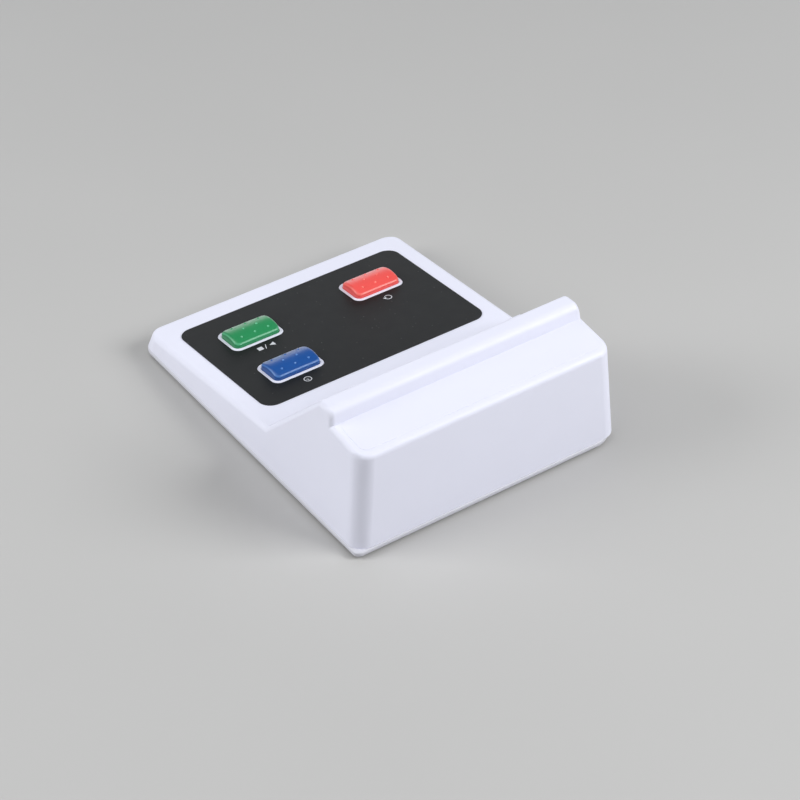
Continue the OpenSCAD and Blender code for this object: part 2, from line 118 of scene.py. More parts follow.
def rounded_ring(w, h, r, n=8):
    """Points of a rounded rectangle, counter-clockwise; r near zero gives a sharp one."""
    r = max(min(r, w / 2 - 1e-4, h / 2 - 1e-4), 1e-3)
    out = []
    for k, (sx, sy) in enumerate(((1, 1), (-1, 1), (-1, -1), (1, -1))):
        for i in range(n + 1):
            a = math.radians(90 * k + 90 * i / n)
            out.append((sx * (w / 2 - r) + r * math.cos(a), sy * (h / 2 - r) + r * math.sin(a)))
    return out


def loft(name, rings, closed=False):
    """Joins rings of equal length with quads; ends are capped unless the rings close on themselves."""
    m = len(rings[0])
    verts = [p for r in rings for p in r]
    faces = []
    n = len(rings)
    for j in range(n if closed else n - 1):
        a, b = j * m, ((j + 1) % n) * m
        for i in range(m):
            k = (i + 1) % m
            faces.append((a + i, a + k, b + k, b + i))
    if not closed:
        faces.append(tuple(range(m)))
        faces.append(tuple(reversed(range((n - 1) * m, n * m))))
    return solid(name, verts, faces)


def rect_loft(name, place, cx, cy, steps, n=8):
    """Stacked rounded rectangles; steps hold (width, height, radius, level)."""
    return loft(name, [[place(cx + x, cy + y, z) for x, y in rounded_ring(w, h, r, n)] for w, h, r, z in steps])


def cad_copy(node, name=None):
    """A welded copy of a CAD node's mesh, as a piece of its own."""
    me = nodes[node].data.copy()
    me.materials.clear()
    bm = bmesh.new()
    bm.from_mesh(me)
    bmesh.ops.remove_doubles(bm, verts=bm.verts, dist=2e-6)
    bmesh.ops.dissolve_degenerate(bm, edges=bm.edges, dist=1e-7)
    bmesh.ops.recalc_face_normals(bm, faces=bm.faces)
    bm.to_mesh(me)
    bm.free()
    if me.has_custom_normals:
        for layer in ("custom_normal",):
            if layer in me.attributes:
                me.attributes.remove(me.attributes[layer])
    me.update()
    return new_object(name or node + "_shape", me)


def boolean(a, b, operation, solver="MANIFOLD"):
    """a = a (operation) b; b is used up."""
    m = a.modifiers.new("cut", "BOOLEAN")
    m.operation, m.object, m.solver = operation, b, solver
    dg = bpy.context.evaluated_depsgraph_get()
    me = bpy.data.meshes.new_from_object(a.evaluated_get(dg))
    a.modifiers.clear()
    old = a.data
    a.data = me
    bpy.data.meshes.remove(old)
    bm_old = b.data
    bpy.data.objects.remove(b)
    bpy.data.meshes.remove(bm_old)
    return a


def tidy(o, weld=1e-6, flat=0.05):
    """Welds, removes slivers and merges faces that lie in one plane."""
    bm = bmesh.new()
    bm.from_mesh(o.data)
    bmesh.ops.remove_doubles(bm, verts=bm.verts, dist=weld)
    bmesh.ops.dissolve_degenerate(bm, edges=bm.edges, dist=weld * 0.5)
    if flat:
        bmesh.ops.dissolve_limit(bm, angle_limit=math.radians(flat), verts=bm.verts, edges=bm.edges)
    loose = [v for v in bm.verts if not v.link_faces]
    bmesh.ops.delete(bm, geom=loose, context="VERTS")
    bm.to_mesh(o.data)
    bm.free()
    o.data.update()


def shade(o, angle=32, bevel=0.0, segments=2, limit=38):
    """Smooth shading with sharp edges kept by angle, and an optional fine edge round."""
    me = o.data
    me.polygons.foreach_set("use_smooth", [True] * len(me.polygons))
    me.set_sharp_from_angle(angle=math.radians(angle))
    if bevel:
        b = o.modifiers.new("edge", "BEVEL")
        b.width, b.segments = bevel * MM, segments
        b.limit_method, b.angle_limit = "ANGLE", math.radians(limit)
        b.use_clamp_overlap = True
        b.harden_normals = False
    w = o.modifiers.new("normals", "WEIGHTED_NORMAL")
    w.keep_sharp = True
    w.weight = 60
    return o


# ------------------------------------------------------------------ materials
def material(name, color, rough, metallic=0.0, spread=0.04, rough_spread=0.08, cell=40.0,
             grain=2500.0, bump=0.06, depth=0.00004, wear=0.0, wear_color=None, specular=0.5, coat=0.0,
             coat_rough=0.1, detail=3.0, sheen=0.0):
    """Procedural finish: broad colour drift, uneven gloss, a fine grained surface and pale edge wear."""
    m = bpy.data.materials.new(name)
    m.use_nodes = True
    nt = m.node_tree
    b = nt.nodes["Principled BSDF"]
    b.inputs["Metallic"].default_value = metallic
    b.inputs["Specular IOR Level"].default_value = specular
    b.inputs["Coat Weight"].default_value = coat
    b.inputs["Coat Roughness"].default_value = coat_rough
    b.inputs["Sheen Weight"].default_value = sheen
    b.inputs["Sheen Roughness"].default_value = 0.3
    co = nt.nodes.new("ShaderNodeTexCoord")

    def noise(scale, detail_=2.0, rough_=0.5):
        n = nt.nodes.new("ShaderNodeTexNoise")
        n.inputs["Scale"].default_value = scale
        n.inputs["Detail"].default_value = detail_
        n.inputs["Roughness"].default_value = rough_
        nt.links.new(co.outputs["Object"], n.inputs["Vector"])
        return n

    drift = noise(cell, detail)
    ramp = nt.nodes.new("ShaderNodeValToRGB")
    lo = [c * (1 - spread) for c in color]
    hi = [min(1.0, c * (1 + spread)) for c in color]
    ramp.color_ramp.elements[0].position, ramp.color_ramp.elements[0].color = 0.3, (*lo, 1)
    ramp.color_ramp.elements[1].position, ramp.color_ramp.elements[1].color = 0.7, (*hi, 1)
    nt.links.new(drift.outputs["Fac"], ramp.inputs["Fac"])
    colour_out = ramp.outputs["Color"]
    gloss = noise(cell * 4.3, 4.0, 0.6)
    mr = nt.nodes.new("ShaderNodeMapRange")
    mr.inputs["From Min"].default_value, mr.inputs["From Max"].default_value = 0.3, 0.7
    mr.inputs["To Min"].default_value = max(0.02, rough - rough_spread)
    mr.inputs["To Max"].default_value = min(1.0, rough + rough_spread)
    nt.links.new(gloss.outputs["Fac"], mr.inputs["Value"])
    rough_out = mr.outputs["Result"]
    fine = noise(grain, 2.0, 0.55)
    bp = nt.nodes.new("ShaderNodeBump")
    bp.inputs["Strength"].default_value = bump
    bp.inputs["Distance"].default_value = depth
    nt.links.new(fine.outputs["Fac"], bp.inputs["Height"])
    nt.links.new(bp.outputs["Normal"], b.inputs["Normal"])
    if wear:
        bv = nt.nodes.new("ShaderNodeBevel")
        bv.samples = 4
        bv.inputs["Radius"].default_value = wear * MM
        geo = nt.nodes.new("ShaderNodeNewGeometry")
        dot = nt.nodes.new("ShaderNodeVectorMath")
        dot.operation = "DOT_PRODUCT"
        nt.links.new(bv.outputs["Normal"], dot.inputs[0])
        nt.links.new(geo.outputs["Normal"], dot.inputs[1])
        edge = nt.nodes.new("ShaderNodeMapRange")
        edge.inputs["From Min"].default_value, edge.inputs["From Max"].default_value = 0.99, 0.86
        edge.inputs["To Min"].default_value, edge.inputs["To Max"].default_value = 0.0, 0.55
        nt.links.new(dot.outputs["Value"], edge.inputs["Value"])
        rub = noise(cell * 9, 4.0, 0.65)
        mul = nt.nodes.new("ShaderNodeMath")
        mul.operation = "MULTIPLY"
        nt.links.new(edge.outputs["Result"], mul.inputs[0])
        nt.links.new(rub.outputs["Fac"], mul.inputs[1])
        mix = nt.nodes.new("ShaderNodeMix")
        mix.data_type = "RGBA"
        nt.links.new(mul.outputs["Value"], mix.inputs["Factor"])
        nt.links.new(colour_out, mix.inputs["A"])
        mix.inputs["B"].default_value = (*(wear_color or [min(1.0, c * 1.25 + 0.02) for c in color]), 1)
        colour_out = mix.outputs["Result"]
    nt.links.new(colour_out, b.inputs["Base Color"])
    nt.links.new(rough_out, b.inputs["Roughness"])
    return m


def add_specks(m, color, scale, size, amount=0.5):
    """Scattered tiny dust specks over a finish."""
    nt = m.node_tree
    b = nt.nodes["Principled BSDF"]
    src = b.inputs["Base Color"].links[0].from_socket
    co = nt.nodes["Texture Coordinate"]
    v = nt.nodes.new("ShaderNodeTexVoronoi")
    v.inputs["Scale"].default_value = scale
    v.inputs["Randomness"].default_value = 1.0
    nt.links.new(co.outputs["Object"], v.inputs["Vector"])
    near = nt.nodes.new("ShaderNodeMapRange")
    near.inputs["From Min"].default_value, near.inputs["From Max"].default_value = size, size * 0.4
    near.inputs["To Min"].default_value, near.inputs["To Max"].default_value = 0.0, 1.0
    nt.links.new(v.outputs["Distance"], near.inputs["Value"])
    pick = nt.nodes.new("ShaderNodeSeparateColor")
    nt.links.new(v.outputs["Color"], pick.inputs["Color"])
    some = nt.nodes.new("ShaderNodeMapRange")
    some.inputs["From Min"].default_value, some.inputs["From Max"].default_value = 0.72, 0.95
    some.inputs["To Min"].default_value, some.inputs["To Max"].default_value = 0.0, amount
    nt.links.new(pick.outputs["Red"], some.inputs["Value"])
    mul = nt.nodes.new("ShaderNodeMath")
    mul.operation = "MULTIPLY"
    nt.links.new(near.outputs["Result"], mul.inputs[0])
    nt.links.new(some.outputs["Result"], mul.inputs[1])
    mix = nt.nodes.new("ShaderNodeMix")
    mix.data_type = "RGBA"
    nt.links.new(mul.outputs["Value"], mix.inputs["Factor"])
    nt.links.new(src, mix.inputs["A"])
    mix.inputs["B"].default_value = (*color, 1)
    nt.links.new(mix.outputs["Result"], b.inputs["Base Color"])
    return m


def add_painted_edge_highlight(m, color, up, amount):
    """Painted highlight: a paler tint on the rounded edges, between the faces that look along up and the walls square
    to it.
    """
    nt = m.node_tree
    b = nt.nodes["Principled BSDF"]
    src = b.inputs["Base Color"].links[0].from_socket
    geo = nt.nodes.new("ShaderNodeNewGeometry")
    dot = nt.nodes.new("ShaderNodeVectorMath")
    dot.operation = "DOT_PRODUCT"
    dot.inputs[1].default_value = up
    nt.links.new(geo.outputs["Normal"], dot.inputs[0])
    ramp = nt.nodes.new("ShaderNodeValToRGB")
    stops = ramp.color_ramp.elements
    stops[0].position, stops[1].position = 0.22, 0.84
    stops[0].color = stops[1].color = (0, 0, 0, 1)
    for at in (0.42, 0.64):
        stops.new(at).color = (amount, amount, amount, 1)
    nt.links.new(dot.outputs["Value"], ramp.inputs["Fac"])
    mix = nt.nodes.new("ShaderNodeMix")
    mix.data_type = "RGBA"
    nt.links.new(ramp.outputs["Color"], mix.inputs["Factor"])
    nt.links.new(src, mix.inputs["A"])
    mix.inputs["B"].default_value = (*color, 1)
    nt.links.new(mix.outputs["Result"], b.inputs["Base Color"])
    return m


M = {}
M["case"] = material("case_white", (0.79, 0.79, 0.895), 0.48, specular=0.45, spread=0.012, rough_spread=0.06, cell=22,
                     grain=3200, bump=0.10, depth=0.00003, wear=0.5, wear_color=(0.85, 0.85, 0.93))
# painted shade: the base plate and battery door are coloured greyer than the case, for the shade low by the floor
M["base"] = material("base_white", (0.60, 0.595, 0.645), 0.5, spread=0.015, rough_spread=0.06, cell=26,
                     grain=2600, bump=0.14, depth=0.00004, wear=0.3, wear_color=(0.63, 0.625, 0.67))
M["overlay"] = material("overlay_black", (0.0105, 0.0112, 0.0118), 0.48, specular=0.33, spread=0.04, rough_spread=0.03, cell=30,
                        grain=5200, bump=0.10, depth=0.00002)
add_specks(M["overlay"], (0.32, 0.33, 0.34), 520, 0.16, 0.22)
# each key's second colour is a painted highlight, used on the rounded top edges and on the paler grip bumps
KEY_COLOURS = {"green": ((0.016, 0.245, 0.082), (0.12, 0.50, 0.26)),
               "blue": ((0.005, 0.071, 0.290), (0.09, 0.23, 0.56)),
               "red": ((0.84, 0.090, 0.078), (0.95, 0.19, 0.15))}
for key, (colour, highlight_colour) in KEY_COLOURS.items():
    M[key] = material("key_" + key, colour, 0.36, spread=0.04, rough_spread=0.03, cell=60, grain=2200, bump=0.02,
                      specular=0.5, sheen=0.8)
    # painted highlight: the key's rounded top edges are tinted paler
    add_painted_edge_highlight(M[key], highlight_colour, (0, -math.sin(DECK_A), math.cos(DECK_A)), 0.62)
    # the grip bumps are polished; their paler colour is a painted highlight
    M[key + "_bump"] = material("key_%s_bump" % key, highlight_colour, 0.2, spread=0.05, rough_spread=0.04, cell=300, grain=2600,
                                bump=0.02)
M["print"] = material("print_white", (0.62, 0.63, 0.66), 0.5, spread=0.06, grain=4000, cell=160, bump=0.05)
M["black"] = material("black_plastic", (0.02, 0.02, 0.022), 0.42, spread=0.1, cell=120, grain=3000, bump=0.08, wear=0.2)
M["steel"] = material("bright_steel", (0.60, 0.61, 0.63), 0.28, metallic=1.0, spread=0.06, cell=200, grain=1800, bump=0.05)
M["screw"] = material("screw_steel", (0.62, 0.63, 0.65), 0.32, metallic=1.0, spread=0.08, rough_spread=0.12, cell=350,
                      grain=2400, bump=0.10, wear=0.15, wear_color=(0.8, 0.8, 0.82))
M["nickel"] = material("contact_nickel", (0.63, 0.60, 0.50), 0.25, metallic=1.0, spread=0.07, cell=180, grain=1600, bump=0.05)
M["board"] = material("board_green", (0.03, 0.15, 0.06), 0.36, spread=0.14, cell=260, grain=1400, bump=0.12, coat=0.2)
M["cable"] = material("cable_grey", (0.58, 0.60, 0.62), 0.5, spread=0.06, cell=160, grain=1500, bump=0.1)
M["lcd"] = material("lcd_glass", (0.40, 0.46, 0.38), 0.22, spread=0.04, rough_spread=0.03, cell=50, grain=4200, bump=0.03)
M["lcd_dark"] = material("lcd_segment", (0.020, 0.024, 0.028), 0.3, spread=0.1, cell=300, grain=4000, bump=0.02)
M["lcd_faint"] = material("lcd_segment_off", (0.355, 0.41, 0.335), 0.3, spread=0.04, cell=300, grain=4000, bump=0.02)
M["foil"] = material("reflector_foil", (0.60, 0.64, 0.58), 0.4, metallic=0.8, spread=0.05, cell=90, grain=2200, bump=0.08)
M["holder"] = material("holder_plastic", (0.72, 0.72, 0.75), 0.45, spread=0.03, cell=60, grain=2600, bump=0.1, wear=0.2)
M["strip"] = material("strip_rubber", (0.62, 0.25, 0.30), 0.6, spread=0.1, cell=240, grain=1800, bump=0.15)
M["epoxy"] = material("epoxy_black", (0.01, 0.01, 0.011), 0.18, spread=0.2, cell=150, grain=900, bump=0.15)
M["chip"] = material("chip_brown", (0.24, 0.17, 0.12), 0.5, spread=0.12, cell=700, grain=3000, bump=0.1)
M["cell"] = material("cell_jacket", (0.05, 0.055, 0.065), 0.35, spread=0.15, cell=70, grain=2500, bump=0.05, coat=0.3)
M["lead_red"] = material("lead_red", (0.50, 0.03, 0.035), 0.42, spread=0.08, cell=220, grain=2500, bump=0.06)
M["lead_black"] = material("lead_black", (0.015, 0.015, 0.016), 0.42, spread=0.12, cell=220, grain=2500, bump=0.06)
M["foot"] = material("foot_rubber", (0.58, 0.58, 0.60), 0.72, spread=0.05, cell=140, grain=2200, bump=0.2, depth=0.00006)


def clear_material():
    m = bpy.data.materials.new("window_clear")
    m.use_nodes = True
    nt = m.node_tree
    b = nt.nodes["Principled BSDF"]
    b.inputs["Transmission Weight"].default_value = 1.0
    b.inputs["IOR"].default_value = 1.49
    b.inputs["Base Color"].default_value = (0.96, 0.98, 0.985, 1)
    co = nt.nodes.new("ShaderNodeTexCoord")
    n = nt.nodes.new("ShaderNodeTexNoise")
    n.inputs["Scale"].default_value = 60
    n.inputs["Detail"].default_value = 3
    nt.links.new(co.outputs["Object"], n.inputs["Vector"])
    mr = nt.nodes.new("ShaderNodeMapRange")
    mr.inputs["To Min"].default_value, mr.inputs["To Max"].default_value = 0.015, 0.05
    nt.links.new(n.outputs["Fac"], mr.inputs["Value"])
    nt.links.new(mr.outputs["Result"], b.inputs["Roughness"])
    w = nt.nodes.new("ShaderNodeTexNoise")
    w.inputs["Scale"].default_value = 130
    nt.links.new(co.outputs["Object"], w.inputs["Vector"])
    bp = nt.nodes.new("ShaderNodeBump")
    bp.inputs["Strength"].default_value = 0.02
    bp.inputs["Distance"].default_value = 0.00005
    nt.links.new(w.outputs["Fac"], bp.inputs["Height"])
    nt.links.new(bp.outputs["Normal"], b.inputs["Normal"])
    return m


M["clear"] = clear_material()


def place(o, body, slot, mat, *stands_for):
    """Gives a finished piece its material and its body and hides the nodes it stands for; slot is not used."""
    mats = mat if isinstance(mat, (list, tuple)) else [mat]
    o.data.materials.clear()
    for m in mats:
        o.data.materials.append(m)
    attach(o, body)
    if stands_for:
        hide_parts(*stands_for)
    return o


# ------------------------------------------------------------------ upper case
SKIN = 0.04                        # the skin lies this far inside the nominal planes
EDGE_R = 1.8                       # round of the top edges at the side walls
STEP_R = 3.0                       # round of the ridge's rear edge
BORDER = 0.14                      # the roof's border lies this much lower than its panel


def line_inset(a, b, d):
    """The line a-b moved d to its right, as (point, direction)."""
    u = (b - a).normalized()
    return a + d * Vector((u.y, -u.x)), u


def cross_lines(l1, l2):
    (p, u), (q, v) = l1, l2
    den = u.x * v.y - u.y * v.x
    t = ((q.x - p.x) * v.y - (q.y - p.y) * v.x) / den
    return p + t * u


def corner_arc(a, b, c, r, n):
    """Points of a round of radius r at b, between a and c."""
    if r <= 0:
        return [b]
    u, v = (a - b).normalized(), (c - b).normalized()
    h = math.acos(max(-1, min(1, u.dot(v)))) / 2
    p, q = b + u * (r / math.tan(h)), b + v * (r / math.tan(h))
    o = b + (u + v).normalized() * (r / math.sin(h))
    a0 = math.atan2(p.y - o.y, p.x - o.x)
    a1 = math.atan2(q.y - o.y, q.x - o.x)
    d = (a1 - a0 + math.pi) % (2 * math.pi) - math.pi
    return [o + r * Vector((math.cos(a0 + d * i / n), math.sin(a0 + d * i / n))) for i in range(n + 1)]


def case_slice(wall_in, top_in):
    """Side profile with the walls and the top planes moved in by their own amounts."""
    low = -6.0
    f_dir = Vector((FRONT_RUN, FRONT_H - BASE_T)).normalized()
    front0 = Vector((LIP, BASE_T)) - f_dir * 12
    back1 = Vector((CASE_D - LIP + LEAN * 12, -12))
    pts = [front0, P_F, P_C, P_R, P_N, P_K, P_B, back1]
    ins = [wall_in, top_in, top_in, top_in, top_in, top_in + BORDER, wall_in]
    lines = [line_inset(pts[i], pts[i + 1], SKIN + ins[i]) for i in range(7)]
    floor = (Vector((0, low)), Vector((1, 0)))
    corners = [cross_lines(floor, lines[0])] + [cross_lines(lines[i], lines[i + 1]) for i in range(6)] \
        + [cross_lines(lines[6], floor)]
    radii = [0, 1.9, 0.35, 1.7, STEP_R, 0.06, 2.2, 0]
    segs = [0, 7, 3, 6, 11, 3, 9, 0]
    out = []
    for i, (r, n) in enumerate(zip(radii, segs)):
        out += corner_arc(corners[i - 1], corners[i], corners[(i + 1) % 8], r, n)
    return out


def dip(e, r):
    return r - math.sqrt(max(0.0, r * r - (r - e) ** 2)) if e < r else 0.0


cuts = sorted({round(EDGE_R * (1 - math.cos(math.radians(a))), 5) for a in range(0, 91, 10)}
              | {round(CORNER_R * (1 - math.cos(math.radians(a))), 5) for a in (18, 27, 36, 45, 54, 63, 72, 81, 90)})
rings = []
for sign, order in ((1, cuts), (-1, list(reversed(cuts)))):
    for e in order:
        prof = case_slice(dip(e, CORNER_R), dip(e, EDGE_R))
        half = CASE_W / 2 - LIP_SIDE - SKIN - e
        rings.append([row(sign * (half - DRAFT * p.y), p.x, p.y) for p in prof])
skin = loft("upper_case_skin", rings)

rim = rect_loft("rim", on_face, 0, 0, [
    (WINDOW_W + 5.92, WINDOW_H + 5.92, 2.96, -1.2),
    (WINDOW_W + 5.92, WINDOW_H + 5.92, 2.96, RIM_H - 0.30),
    (WINDOW_W + 5.86, WINDOW_H + 5.86, 2.93, RIM_H - 0.20),
    (WINDOW_W + 5.72, WINDOW_H + 5.72, 2.86, RIM_H - 0.11),
    (WINDOW_W + 5.50, WINDOW_H + 5.50, 2.75, RIM_H - 0.06),
    (WINDOW_W + 5.26, WINDOW_H + 5.26, 2.63, RIM_H - 0.04)])
skin = boolean(skin, rim, "UNION")

panel_w = 2 * (CASE_W / 2 - LIP_SIDE - DRAFT * 40 - 2.8)
panel_l = ROOF_L - 2.8 - 0.32
panel = rect_loft("panel", on_roof, 0, panel_l / 2 + 0.32, [
    (panel_w, panel_l, 3.0, -1.0), (panel_w, panel_l, 3.0, -SKIN - 0.05),
    (panel_w - 0.04, panel_l - 0.04, 2.98, -SKIN - 0.02), (panel_w - 0.12, panel_l - 0.12, 2.94, -SKIN)], n=10)
skin = boolean(skin, panel, "UNION")

for kx, ks in KEY_PLACES:
    w, h = KEY_L + 2 * RIM_END - 0.04, KEY_W + 2 * RIM_SIDE - 0.04
    collar = rect_loft("collar", on_deck, kx, ks, [
        (w, h, 2.88, -0.8), (w, h, 2.88, KEY_RIM - 0.14), (w - 0.05, h - 0.05, 2.855, KEY_RIM - 0.07),
        (w - 0.14, h - 0.14, 2.81, KEY_RIM - 0.03), (w - 0.28, h - 0.28, 2.74, KEY_RIM - 0.015)])
    skin = boolean(skin, collar, "UNION")

upper = boolean(skin, cad_copy("upper_case"), "INTERSECT")
upper.name = "upper_case_shell"
for kx, ks in KEY_PLACES:
    w, h = KEY_L + 2 * KEY_GAP, KEY_W + 2 * KEY_GAP
    boolean(upper, rect_loft("well", on_deck, kx, ks, [
        (w - 0.02, h - 0.02, 2.04, KEY_RIM - 0.12), (w + 0.14, h + 0.14, 2.12, KEY_RIM),
        (w + 0.6, h + 0.6, 2.35, KEY_RIM + 0.5)]), "DIFFERENCE")
boolean(upper, rect_loft("seat", on_face, 0, 0, [
    (WINDOW_W - 0.02, WINDOW_H - 0.02, 1.99, 0.08), (WINDOW_W + 0.5, WINDOW_H + 0.5, 2.25, RIM_H),
    (WINDOW_W + 1.5, WINDOW_H + 1.5, 2.75, RIM_H + 1)]), "DIFFERENCE")
tidy(upper)
shade(upper, angle=30)
place(upper, "case", "case_white", M["case"], "upper_case")

# ------------------------------------------------------------------ base cover
base = cad_copy("base_cover", "base_cover_shell")


def lip_ring(inset, z, n=12):
    """Outline of the base plate, moved in by inset; each corner has its own radius."""
    out = []
    for k, (sx, sy) in enumerate(((1, 1), (-1, 1), (-1, -1), (1, -1))):
        r = max(PLATE_R[k] - inset, 0.2)
        for i in range(n + 1):
            t = math.radians(90 * k + 90 * i / n)
            out.append(row(sx * (CASE_W / 2 - inset - r) + r * math.cos(t),
                           CASE_D / 2 + sy * (CASE_D / 2 - inset - r) + r * math.sin(t), z))
    return out


LOW_R, TOP_R = 0.9, 0.6            # rounds of the plate's lower and upper edge
lip_path = [(-4, -1), (LOW_R + 0.04, -1.0)] \
    + [(0.02 + LOW_R * (1 - math.sin(math.radians(a))), LOW_R * (1 - math.cos(math.radians(a)))) for a in range(0, 91, 10)] \
    + [(0.02 + TOP_R * (1 - math.cos(math.radians(a))), BASE_T - TOP_R * (1 - math.sin(math.radians(a)))) for a in range(0, 91, 10)] \
    + [(TOP_R + 0.06, 2.6), (-4, 2.6)]
cutter = loft("lip_cutter", [lip_ring(i, z) for i, z in lip_path], closed=True)
boolean(base, cutter, "DIFFERENCE")
tidy(base)
shade(base, angle=30)
place(base, "case", "base_white", M["base"], "base_cover")


# ---------------------------------------------------------------------- keys
def key_ring(w, h, r, n=7, m_end=7, m_side=3):
    """Rounded rectangle with extra points on its straight sides, as (x, y, normal x, normal y)."""
    out = []
    r = max(min(r, w / 2 - 1e-3, h / 2 - 1e-3), 1e-3)
    for k, (sx, sy) in enumerate(((1, 1), (-1, 1), (-1, -1), (1, -1))):
        for i in range(n + 1):
            a = math.radians(90 * k + 90 * i / n)
            out.append((sx * (w / 2 - r) + r * math.cos(a), sy * (h / 2 - r) + r * math.sin(a), math.cos(a), math.sin(a)))
        x0, y0, nx, ny = out[-1]
        sx2, sy2 = ((1, 1), (-1, 1), (-1, -1), (1, -1))[(k + 1) % 4]
        x1 = sx2 * (w / 2 - r) + r * math.cos(math.radians(90 * k + 90))
        y1 = sy2 * (h / 2 - r) + r * math.sin(math.radians(90 * k + 90))
        m = m_side if k % 2 == 0 else m_end
        for j in range(1, m + 1):
            f = j / (m + 1)
            out.append((x0 + (x1 - x0) * f, y0 + (y1 - y0) * f, nx, ny))
    return out


def crown(x, y):
    """Height of a key's arched top."""
    return KEY_H - 0.0517 * y * y - 0.0012 * x * x


def key_piece(name, kx, ks):
    flange_top, flange_t = 2.1, 0.8
    end_r, side_r, end_in, side_in = 1.15, 0.60, 0.06, 0.02
    levels = [(KEY_L + 2.4, KEY_W + 2.4, 2.6, -flange_top - flange_t), (KEY_L + 2.4, KEY_W + 2.4, 2.6, -flange_top - 0.12),
              (KEY_L + 2.2, KEY_W + 2.2, 2.5, -flange_top), (KEY_L + 0.1, KEY_W + 0.1, 1.95, -flange_top),
              (KEY_L, KEY_W, 1.9, -flange_top + 0.05), (KEY_L, KEY_W, 1.9, 0.2)]
    rings_ = [[on_deck(kx + x, ks + y, z) for x, y, _a, _b in key_ring(w, h, r)] for w, h, r, z in levels]
    for deg in range(0, 91, 10):
        c, k = math.cos(math.radians(deg)), math.sin(math.radians(deg))
        w = KEY_L - 2 * (end_in + end_r * (1 - c))
        h = KEY_W - 2 * (side_in + side_r * (1 - c))
        rings_.append([on_deck(kx + x, ks + y, crown(x, y) - (nx * nx * end_r + ny * ny * side_r) * (1 - k))
                       for x, y, nx, ny in key_ring(w, h, 1.88 - 0.55 * (1 - c))])
    for i in range(1, 11):
        t = i / 10
        h2 = h * (1 - t) + 0.3 * t
        rings_.append([on_deck(kx + x, ks + y, crown(x, y)) for x, y, _a, _b in
                       key_ring(w - (h - h2), h2, 1.33 * (1 - t) + 0.1)])
    o = loft(name, rings_)
    cavity = rect_loft("cavity", on_deck, kx, ks, [
        (KEY_L - 3, KEY_W - 3, 1.2, -flange_top - flange_t - 1), (KEY_L - 3, KEY_W - 3, 1.2, 1.0),
        (KEY_L - 3.6, KEY_W - 3.6, 0.9, 1.35)])
    boolean(o, cavity, "DIFFERENCE")
    stem = loft("stem", [[on_deck(kx + r * math.cos(2 * math.pi * i / 28), ks + r * math.sin(2 * math.pi * i / 28), z)
                          for i in range(28)] for r, z in ((1.85, -3.4), (2.0, -3.25), (2.0, 1.8))])
    boolean(o, stem, "UNION")
    # grip bumps, three, two and three
    for dx, dy in [(x, y) for x in (-5.5, 0, 5.5) for y in (-3.3, 3.3)] + [(-2.75, 0), (2.75, 0)]:
        zt = crown(dx, dy)
        bump = loft("bump", [[on_deck(kx + dx + r * math.cos(2 * math.pi * i / 14), ks + dy + r * math.sin(2 * math.pi * i / 14), zt + h3)
                              for i in range(14)] for r, h3 in
                             ((0.46, -0.45), (0.46, -0.10), (0.44, 0.08), (0.36, 0.20), (0.22, 0.28), (0.07, 0.31))])
        boolean(o, bump, "UNION")
    tidy(o, flat=0)
    shade(o, angle=42)
    return o


def mark_bumps(o, kx, ks):
    """Gives the bumps of a key's middle and rear rows the second material, whose paler colour is a painted highlight.
    """
    c, k = math.cos(DECK_A), math.sin(DECK_A)
    at = on_deck(kx, ks, 0)
    for f in o.data.polygons:
        d = (f.center - at) / MM
        x, y, n = d.x, d.y * c + d.z * k, d.z * c - d.y * k
        f.material_index = 1 if y > -1.5 and n > crown(x, y) + 0.02 else 0


for name, kx, ks, node, colour in (("start_stop_cap", KEY_X, KEY_S1, "start_stop_key", "green"),
                                   ("mode_cap", KEY_X, KEY_S2, "mode_key", "blue"),
                                   ("split_reset_cap", -KEY_X, KEY_S1, "split_reset_key", "red")):
    cap = place(key_piece(name, kx, ks), node, "key_" + colour, [M[colour], M[colour + "_bump"]], node)
    mark_bumps(cap, kx, ks)

# --------------------------------------------------------------- deck overlay
overlay = cad_copy("key_overlay", "overlay_sheet")
tidy(overlay)
shade(overlay, angle=30, bevel=0.07, segments=2)
place(overlay, "case", "overlay_black", M["overlay"], "key_overlay")


def flat_mark(name, outlines, cx, cs, turn=0.0):
    """Thin printed figure on the overlay: each outline is a closed list of points."""
    verts, faces = [], []
    c, k = math.cos(turn), math.sin(turn)
    for pts in outlines:
        m, b0 = len(pts), len(verts)
        for n in (OVERLAY_TOP - 0.02, OVERLAY_TOP + 0.018):
            verts += [on_deck(cx + x * c - y * k, cs + x * k + y * c, n) for x, y in pts]
        faces += [tuple(b0 + i for i in range(m)), tuple(b0 + m + i for i in reversed(range(m)))]
        faces += [(b0 + i, b0 + (i + 1) % m, b0 + m + (i + 1) % m, b0 + m + i) for i in range(m)]
    return solid(name, verts, faces)


def ring_strip(r, w, a0, a1, n):
    """Outline of an arc of a ring."""
    a = [math.radians(a0 + (a1 - a0) * i / n) for i in range(n + 1)]
    return [((r + w / 2) * math.cos(t), (r + w / 2) * math.sin(t)) for t in a] + \
        [((r - w / 2) * math.cos(t), (r - w / 2) * math.sin(t)) for t in reversed(a)]


def bar(x0, y0, x1, y1, w):
    d = Vector((x1 - x0, y1 - y0)).normalized() * (w / 2)
    return [(x0 - d.y, y0 + d.x), (x0 + d.y, y0 - d.x), (x1 + d.y, y1 - d.x), (x1 - d.y, y1 + d.x)]


